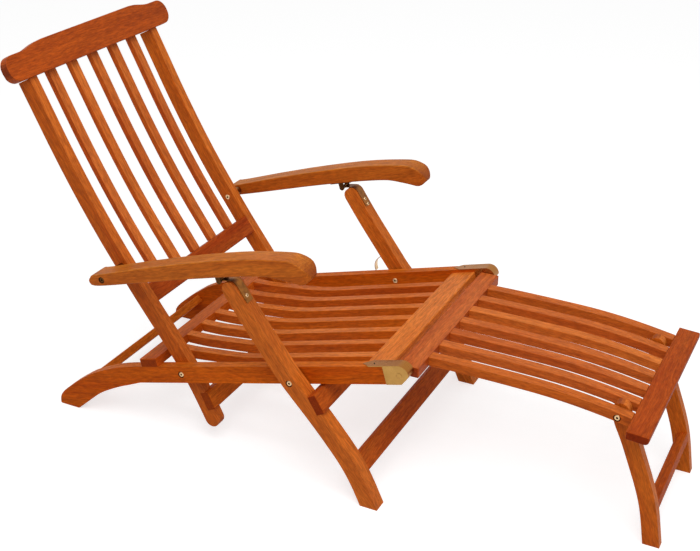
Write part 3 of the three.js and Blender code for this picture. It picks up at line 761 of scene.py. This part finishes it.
# %% Backrest
for node, tone in (
        ("stile_right", 0.05),
        ("stile_left", 0.25),
        # The mid bar's low tone is partly painted shade: it darkens the bar's front, which lies in shade.
        ("back_mid_bar", -0.85),
        ("back_lower_bar", 0.0)):
    board(node, tone, 0.1)
board("crest_rail", 0.05, size=crest_arris, crisp_below=True)

# %% [markdown]
# ## The armrests
#
# The armrests end in a bull nose: seen from above, both front corners are rounded, and the underside swells a
# little where a hand closes round it. A spokeshave does this on the real arm. Here a row of cuts across the
# last two centimetres gives the mesh enough corners, which are then drawn in along a circle. The nose turns
# away from the grain slowly, so its end grain starts to show earlier than on a square end.

# %% Armrests
nose_radius = 0.018
nose_cuts = (0, 15, 30, 45, 60, 74, 85)
swell = 0.0045
swell_length = 0.1
swell_rise = 0.05


def bull_nosed(skin):
    """Rounds the front corners in plan, and lowers the underside behind them."""
    front = max(v.co.x for v in skin.verts)
    sides = [v.co.y for v in skin.verts]
    centre = (min(sides) + max(sides)) / 2
    half_width = (max(sides) - min(sides)) / 2
    for degrees in nose_cuts:
        cut = front - nose_radius * (1 - math.sin(math.radians(degrees)))
        bmesh.ops.bisect_plane(skin, geom=skin.verts[:] + skin.edges[:] + skin.faces[:], dist=negligible,
                               plane_co=(cut, 0, 0), plane_no=(1, 0, 0))
    nose = [v for v in skin.verts if v.co.x > front - swell_length]
    level = sum(v.co.z for v in nose) / len(nose)
    lowest = min(v.co.z for v in nose)
    for vert in nose:
        near_front = min(1.0, (vert.co.x - front + swell_length) / swell_rise)
        depth = max(0.0, (level - vert.co.z) / (level - lowest))
        vert.co.z -= swell * depth * near_front * near_front * (3 - 2 * near_front)
        over = max(0.0, vert.co.x - front + nose_radius)
        drawn_in = nose_radius - math.sqrt(max(0.0, nose_radius ** 2 - over ** 2))
        vert.co.y = centre + (vert.co.y - centre) * (1 - drawn_in / half_width)


for hand in hands:
    board("armrest_" + hand, 0.0, 0.45, arm_arris, after=bull_nosed, end_from=0.4)

# %% [markdown]
# ## Legs and footrest
#
# The front legs get painted light on all their sides, while the bars between them get none on their sides and
# stay dark and red. The footrest lies flat, so its painted light falls mostly on top, and its two outermost
# slats, which carry the bolts of its legs, are made as boards of their own.

# %% Front legs and footrest
# The last number is the share of painted light that each board's sides get.
for node, tone, lit_on_sides in (
        ("front_leg_right", 0.2, 0.8),
        ("front_leg_left", 0.3, 0.8),
        ("leg_upper_crossbar", -0.5, 0.0),
        ("leg_lower_stretcher", -0.5, 0.0),
        ("footrest_rear_bar", -0.3, 0.25),
        ("footrest_end_bar", -0.75, 0.25),
        ("footrest_rail_right", 0.0, 0.5),
        ("footrest_rail_left", -0.1, 0.5),
        ("footrest_leg_right", 0.2, 0.25),
        ("footrest_leg_left", 0.35, 0.25),
        ("footrest_leg_stretcher", -0.5, 0.25)):
    board(node, tone, lit_on_sides)
for node, lit_on_sides in (("footrest_slat_1", 0.7), ("footrest_slat_5", 0.35)):
    board(node, 0.0, lit_on_sides, slat_arris)

# %% [markdown]
# ## Rows of slats
#
# Seat, back and footrest are each a row of equal slats at an equal pitch. A joiner saws one as a pattern and
# cuts the rest from it, and Geometry Nodes can do the same: the tree takes one dressed slat, sets it on the
# points of a line, gives every copy its own cut of the trunk and its own tone, and makes the row real.
# Copying the object by hand would give each slat the same streaks.


# %% Helpers for trees
def new_tree(name, inputs):
    """An empty tree with named inputs after its geometry."""
    tree = bpy.data.node_groups.new(name, "GeometryNodeTree")
    tree.interface.new_socket("Geometry", in_out="INPUT", socket_type="NodeSocketGeometry")
    for label, kind in inputs.items():
        tree.interface.new_socket(label, in_out="INPUT", socket_type="NodeSocket" + kind)
    tree.interface.new_socket("Geometry", in_out="OUTPUT", socket_type="NodeSocketGeometry")
    return tree


def grown(piece, tree, values):
    """Runs a tree on a piece. Its inputs are set by their identifiers."""
    modifier = piece.modifiers.new(tree.name, "NODES")
    modifier.node_group = tree
    for item in tree.interface.items_tree:
        if item.in_out == "INPUT" and item.name in values:
            modifier[item.identifier] = values[item.name]
    return settled(piece)


row_tree = new_tree("slat_row", {
    "Count": "Int", "Pitch": "Float", "Seed": "Int", "Ripest": "Float", "Palest": "Float",
    "Wood": "Material"})
print("inputs:", [item.name for item in row_tree.interface.items_tree if item.in_out == "INPUT"])

# %% A line of copies, each with its own cut and tone
given = put(row_tree, "NodeGroupInput").outputs
first = put(row_tree, "ShaderNodeMath", {0: given["Count"], 1: 1.0}, operation="SUBTRACT")
first = put(row_tree, "ShaderNodeMath", {0: first, 1: given["Pitch"]}, operation="MULTIPLY")
first = put(row_tree, "ShaderNodeMath", {0: first, 1: -0.5}, operation="MULTIPLY")
start = put(row_tree, "ShaderNodeCombineXYZ", {"Y": first})
step = put(row_tree, "ShaderNodeCombineXYZ", {"Y": given["Pitch"]})
line = put(row_tree, "GeometryNodeMeshLine", {
    "Count": given["Count"], "Start Location": start, "Offset": step})
copies = put(row_tree, "GeometryNodeInstanceOnPoints", {"Points": line, "Instance": given["Geometry"]})
trunk = put(row_tree, "FunctionNodeRandomValue", {"Max": (trunk_reach,) * 3, "Seed": given["Seed"]},
            data_type="FLOAT_VECTOR")
tones = put(row_tree, "FunctionNodeRandomValue", {
    "Min": given["Ripest"], "Max": given["Palest"], "Seed": given["Seed"]}, data_type="FLOAT")
for attribute, value, kind in (("cut", trunk, "FLOAT_VECTOR"), ("copy_tone", tones, "FLOAT")):
    copies = put(row_tree, "GeometryNodeStoreNamedAttribute", {
        "Geometry": copies, "Name": attribute, "Value": value}, data_type=kind, domain="INSTANCE")
print("nodes so far:", len(row_tree.nodes))

# %% Real slats, with the copies' cut added to the pattern's grain
real = put(row_tree, "GeometryNodeRealizeInstances", {"Geometry": copies})
old_grain = put(row_tree, "GeometryNodeInputNamedAttribute", {"Name": "grain"}, data_type="FLOAT_VECTOR")
cut = put(row_tree, "GeometryNodeInputNamedAttribute", {"Name": "cut"}, data_type="FLOAT_VECTOR")
new_grain = put(row_tree, "ShaderNodeVectorMath", {0: old_grain, 1: cut}, operation="ADD")
copy_tone = put(row_tree, "GeometryNodeInputNamedAttribute", {"Name": "copy_tone"}, data_type="FLOAT")
for attribute, value, kind in (("grain", new_grain, "FLOAT_VECTOR"), ("tone", copy_tone, "FLOAT")):
    real = put(row_tree, "GeometryNodeStoreNamedAttribute", {
        "Geometry": real, "Name": attribute, "Value": value}, data_type=kind, domain="POINT")
painted = put(row_tree, "GeometryNodeSetMaterial", {"Geometry": real, "Material": given["Wood"]})
put(row_tree, "NodeGroupOutput", {"Geometry": painted})
print("nodes in the tree:", len(row_tree.nodes))

# %% The three rows
tone_spread = 0.2


def slat_row(name, slats, seed, lit_on_sides=0.0, tone=0.0):
    """A row of equal slats, grown from its middle one. Each one's tone lies near the row's."""
    pattern = slats[len(slats) // 2]
    skin = welded(pattern)
    eased(skin)
    grained(skin, rounded(skin, free_edges(skin, pattern), slat_arris), 0.0, lit_on_sides)
    wood = woods[slot_of(pattern)]
    pitch = (middle(slats[-1]).y - middle(slats[0]).y) / (len(slats) - 1)
    piece = grown(finished(name, skin, wood), row_tree, {
        "Count": len(slats), "Pitch": pitch, "Seed": seed, "Ripest": tone - tone_spread,
        "Palest": tone + tone_spread, "Wood": wood})
    put_in_place(piece, slats)
    print(name, len(slats), "slats,", round(pitch * 1000, 1), "mm apart")


slat_row("seat_slats", [f"seat_slat_{n}" for n in range(1, 8)], 3, tone=0.2)
slat_row("back_slats", [f"back_slat_{n}" for n in range(1, 6)], 5)
# 0.6 is the share of painted light that the footrest slats' sides get.
slat_row("footrest_slats", [f"footrest_slat_{n}" for n in (2, 3, 4)], 8, 0.6)

# %% [markdown]
# ## Brass fittings
#
# Caps, straps and hinges are bent from brass sheet, the collars are turned, and the little hook is bent from
# brassed steel. Their edges are only broken with a file, so the bevel is about a sixth of the wood's, and
# their bends are shaded smooth.

# %% Sheet brass
filed_edge = 0.0004
filed_segments = 2
fold_angle = math.radians(40)
plate_faces_sideways = 0.7


def fitting(node, material):
    """One brass fitting, with filed edges and smooth bends."""
    skin = welded(node)
    rounded(skin, outward_edges(skin, fold_angle), filed_edge, filed_segments)
    second = skin.faces.layers.float.new("second")
    for face in skin.faces:
        face[second] = 1.0 if abs(face.normal.y) < plate_faces_sideways and "nose_cap" in node else 0.0
    shaded(skin)
    put_in_place(finished(node + "_brass", skin, material), [node])


for hand in hands:
    fitting("nose_cap_" + hand, plate_brass)
    fitting("leg_top_strap_" + hand, strap_brass)
    # The hinge sits in shade under the armrest, so it is given the dark brass: painted shade.
    fitting("armrest_hinge_" + hand, dark_brass)
    fitting("armrest_spacer_" + hand, strap_brass)
fitting("stay_hook", bolt_steel)
print("filed edges are", filed_edge * 1000, "mm wide")

# %% [markdown]
# ## Bolts
#
# Every pivot is a furniture bolt: a flat round head with a hexagonal socket, sunk in a bored recess a little
# wider than itself, so a dark ring shows round it, and on the other side of the wood a sleeve nut with the
# same head. The footrest's leg bolts end inside the wood, and the pins that carry it have blank heads. The
# small wood screws in the brass have the same build with a cross slot.
# So Geometry Nodes make one shape from cylinders and cones, with a switch for the second head and one for the
# slot, cut the sockets with a boolean, and set a copy on each point, turned the way that its head faces.
# Modelled one by one, fifteen bolts and screws would hardly come out alike.

# %% The tree that makes a bolt
head_corners = 40
shank_corners = 24
crown_share = 0.4
crown_taper = 0.8

bolt_tree = new_tree("cross_bolt", {
    "Head radius": "Float", "Head height": "Float", "Shank radius": "Float", "Length": "Float",
    "Socket radius": "Float", "Cross slot": "Bool", "Both ends": "Bool", "Steel": "Material"})
given = put(bolt_tree, "NodeGroupInput").outputs

# Every length inside the tree is a share of one of its inputs.
share_of = {
    "rim height": ("Head height", 1 - crown_share),
    "rim middle": ("Head height", -(1 + crown_share) / 2),
    "crown height": ("Head height", crown_share),
    "crown foot": ("Head height", -crown_share),
    "crown top": ("Head radius", crown_taper),
    "shank middle": ("Length", -0.5),
    "far end": ("Length", -1.0),
    "half length": ("Length", 0.5),
    "socket depth": ("Head height", 1.6),
    "slot length": ("Socket radius", 2.0),
    "slot width": ("Socket radius", 0.5),
    "socket shade radius": ("Socket radius", 1.02)}
size = {name: put(bolt_tree, "ShaderNodeMath", {0: given[whole], 1: share}, operation="MULTIPLY")
        for name, (whole, share) in share_of.items()}
print("lengths worked out in the tree:", len(size))


# %% Rim, crown and shank
def moved(geometry, height):
    """The shape, moved along the bolt."""
    rise = put(bolt_tree, "ShaderNodeCombineXYZ", {"Z": height})
    return put(bolt_tree, "GeometryNodeTransform", {"Geometry": geometry, "Translation": rise})


def far_copy(geometry):
    """The same shape turned over at the bolt's other end, where it has two heads."""
    far = put(bolt_tree, "ShaderNodeCombineXYZ", {"Z": size["far end"]})
    over = put(bolt_tree, "GeometryNodeTransform", {
        "Geometry": geometry, "Translation": far, "Rotation": (math.pi, 0, 0)})
    return put(bolt_tree, "GeometryNodeSwitch", {"Switch": given["Both ends"], "True": over},
               input_type="GEOMETRY")


rim = put(bolt_tree, "GeometryNodeMeshCylinder", {
    "Vertices": head_corners, "Radius": given["Head radius"], "Depth": size["rim height"]})
rim = moved(rim, size["rim middle"])
crown = put(bolt_tree, "GeometryNodeMeshCone", {
    "Vertices": head_corners, "Radius Bottom": given["Head radius"], "Radius Top": size["crown top"],
    "Depth": size["crown height"]})
crown = moved(crown, size["crown foot"])
shank = put(bolt_tree, "ShaderNodeMath", {0: given["Length"], 1: given["Head height"]}, operation="SUBTRACT")
shank = put(bolt_tree, "GeometryNodeMeshCylinder", {
    "Vertices": shank_corners, "Radius": given["Shank radius"], "Depth": shank})
shank = moved(shank, size["shank middle"])
heads = [rim, crown, far_copy(rim), far_copy(crown)]
whole = put(bolt_tree, "GeometryNodeMeshBoolean", {"Mesh": [*heads, shank]}, operation="UNION",
            solver="EXACT")
print("a bolt is made of a rim, a crown and a shank")

# %% Sockets: a hexagon, or two crossed slots
hexagon_corners = 6

hexagon = put(bolt_tree, "GeometryNodeMeshCylinder", {
    "Vertices": hexagon_corners, "Radius": given["Socket radius"], "Depth": size["socket depth"]})
cutters = [put(bolt_tree, "GeometryNodeSwitch", {"Switch": given["Cross slot"], "False": hexagon},
               input_type="GEOMETRY")]
for x, y in (("slot length", "slot width"), ("slot width", "slot length")):
    extent = put(bolt_tree, "ShaderNodeCombineXYZ", {"X": size[x], "Y": size[y], "Z": size["socket depth"]})
    slot = put(bolt_tree, "GeometryNodeMeshCube", {"Size": extent})
    cutters.append(put(bolt_tree, "GeometryNodeSwitch", {"Switch": given["Cross slot"], "True": slot},
                       input_type="GEOMETRY"))
both_ends = [shape for cutter in cutters for shape in (cutter, far_copy(cutter))]
cut = put(bolt_tree, "GeometryNodeMeshBoolean", {"Mesh 1": whole, "Mesh 2": both_ends},
          operation="DIFFERENCE", solver="EXACT")
print("cutters:", len(both_ends))

# %% [markdown]
# The faces that lie within the socket's radius and below the head's top are marked as `second`, so that the
# metal's second colour darkens them: painted shade for the depth of the socket. Painting them with another
# material would do it too, but then each bolt would need two.

# %% Painted shade in the sockets
skin_deep = 0.0002

position = put(bolt_tree, "GeometryNodeInputPosition")
place = put(bolt_tree, "ShaderNodeSeparateXYZ", {"Vector": position}).outputs
across = put(bolt_tree, "ShaderNodeCombineXYZ", {"X": place["X"], "Y": place["Y"]})
across = put(bolt_tree, "ShaderNodeVectorMath", {0: across}, operation="LENGTH")
within = put(bolt_tree, "FunctionNodeCompare", {"A": across, "B": size["socket shade radius"]}, data_type="FLOAT",
             operation="LESS_THAN")
off_middle = put(bolt_tree, "ShaderNodeMath", {0: place["Z"], 1: size["half length"]}, operation="ADD")
off_middle = put(bolt_tree, "ShaderNodeMath", {0: off_middle}, operation="ABSOLUTE")
nearly = put(bolt_tree, "ShaderNodeMath", {0: size["half length"], 1: skin_deep}, operation="SUBTRACT")
below = put(bolt_tree, "FunctionNodeCompare", {"A": off_middle, "B": nearly}, data_type="FLOAT",
            operation="LESS_THAN")
socket = put(bolt_tree, "FunctionNodeBooleanMath", {0: within, 1: below}, operation="AND")
# Socket faces get the metal's dark second colour: painted shade.
shaded_socket = put(bolt_tree, "GeometryNodeStoreNamedAttribute", {
    "Geometry": cut, "Selection": socket, "Name": "second", "Value": 1.0}, data_type="FLOAT", domain="FACE")
print("nodes so far:", len(bolt_tree.nodes))

# %% Creases, copies and steel
steel_crease = 0.4

soft = put(bolt_tree, "GeometryNodeSetShadeSmooth", {"Geometry": shaded_socket, "Shade Smooth": True})
angle = put(bolt_tree, "GeometryNodeInputMeshEdgeAngle")
sharp = put(bolt_tree, "FunctionNodeCompare", {"A": angle, "B": steel_crease}, data_type="FLOAT",
            operation="GREATER_THAN")
soft = put(bolt_tree, "GeometryNodeSetShadeSmooth", {
    "Geometry": soft, "Selection": sharp, "Shade Smooth": False}, domain="EDGE")
facing = put(bolt_tree, "GeometryNodeInputNamedAttribute", {"Name": "facing"}, data_type="FLOAT_VECTOR")
turned = put(bolt_tree, "FunctionNodeAlignRotationToVector", {"Vector": facing}, axis="Z")
copies = put(bolt_tree, "GeometryNodeInstanceOnPoints", {
    "Points": given["Geometry"], "Instance": soft, "Rotation": turned})
real = put(bolt_tree, "GeometryNodeRealizeInstances", {"Geometry": copies})
painted = put(bolt_tree, "GeometryNodeSetMaterial", {"Geometry": real, "Material": given["Steel"]})
put(bolt_tree, "NodeGroupOutput", {"Geometry": painted})
print("nodes in the tree:", len(bolt_tree.nodes))

# %% [markdown]
# A bolt is set by two things: the middle of its outer face and the way that this faces. Both are read from
# the plain bolt that it replaces and stored on a loose point, sunk a little. The tree turns it into a bolt.


# %% Points that know which way they face
def points(name, places):
    """A mesh of loose points. places are pairs of a point and the direction that its head faces."""
    mesh = bpy.data.meshes.new(name)
    mesh.from_pydata([place for place, _ in places], [], [])
    facing = mesh.attributes.new("facing", "FLOAT_VECTOR", "POINT")
    for item, (_, way) in zip(facing.data, places):
        item.vector = way
    piece = bpy.data.objects.new(name, mesh)
    bpy.context.scene.collection.objects.link(piece)
    return piece


def outer_end(node):
    """The middle of a bolt's outer face, and the way that it faces."""
    low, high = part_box(node)
    spot = middle(node)
    side = 1 if spot.y > 0 else -1
    spot.y = high[1] if side > 0 else low[1]
    return spot, Vector((0, side, 0))


def bolts(name, members, sizes, sunk, material, both_ends=True):
    """Bolts of one kind, each in the place of its plain solid."""
    places = []
    for node in members:
        spot, way = outer_end(node)
        places.append((spot - way * sunk, way))
    low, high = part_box(members[0])
    piece = grown(points(name, places), bolt_tree, {
        **sizes, "Length": high[1] - low[1] - 2 * sunk, "Steel": material, "Both ends": both_ends,
        "Cross slot": False})
    put_in_place(piece, members)
    print(name, len(piece.data.polygons), "faces")


print("bolts and pins to set:", len(bolt_lines))

# %% Bolts and pins
sunk = 0.0006
arm_sunk = 0.0008
head = {"Head radius": 0.0062, "Head height": 0.0024, "Shank radius": 0.004, "Socket radius": 0.0026}
blank = {"Head radius": 0.0062, "Head height": 0.0018, "Shank radius": 0.004, "Socket radius": 0.0001}


def pair(name):
    return [f"{name}_{hand}" for hand in hands]


bolts("back_pivot_bolts", pair("back_pivot_bolt"), head, sunk, bolt_steel)
bolts("leg_pivot_bolts", pair("leg_pivot_bolt"), head, sunk, bolt_steel)
# The near armrest bolt sits in a shaded recess, so it is given the dark brass: painted shade.
bolts("armrest_bolt_near", ["armrest_bolt_right"], head, arm_sunk, dark_brass)
bolts("armrest_bolt_far", ["armrest_bolt_left"], head, arm_sunk, bolt_steel)
bolts("footrest_leg_bolts", pair("footrest_leg_bolt"), head, sunk, bolt_steel, both_ends=False)
bolts("footrest_pivot_pins", pair("footrest_pivot_pin"), blank, sunk, plate_brass, both_ends=False)

# %% [markdown]
# ## Screws in the brass
#
# One cross-head screw holds the pointed tail of each nose cap, and one or two hold each strap to its leg.
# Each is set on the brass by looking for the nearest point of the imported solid, whose normal also says which
# way to face.

# %% Screws
cap_screw = 0.0036
strap_screw = 0.0042
cap_side, cap_tail_x, cap_tail_z = 0.2416, 0.1353, 0.3167
strap_side = 0.2735
# A screw's other sizes are shares of its head's radius, and so is the height that it stands proud.
screw_shares = {"Head height": 0.5, "Shank radius": 0.4, "Length": 1.2, "Socket radius": 0.55}
proud = 0.3


def screws(name, places, radius):
    """Small cross-head screws of one body. places are pairs of a fitting and a point near its surface."""
    found = []
    for node, spot in places:
        surface, way, _, _ = neighbours[node].find_nearest(Vector(spot))
        found.append((surface + way * radius * proud, way))
    values = {size_name: radius * share for size_name, share in screw_shares.items()}
    piece = grown(points(name, found), bolt_tree, {
        **values, "Head radius": radius, "Cross slot": True, "Both ends": False, "Steel": bolt_steel})
    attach(piece, body_of(places[0][0]))
    print(name, len(found), "screws")


screws("nose_cap_screws", [("nose_cap_right", (cap_tail_x, -cap_side, cap_tail_z)),
                           ("nose_cap_left", (cap_tail_x, cap_side, cap_tail_z))], cap_screw)
screws("leg_strap_screws", [("leg_top_strap_right", (-0.1356, -strap_side, 0.4274)),
                            ("leg_top_strap_left", (-0.1362, strap_side, 0.4312)),
                            ("leg_top_strap_left", (-0.1282, strap_side, 0.4197))], strap_screw)

# %% The finished chair
bpy.context.view_layer.update()
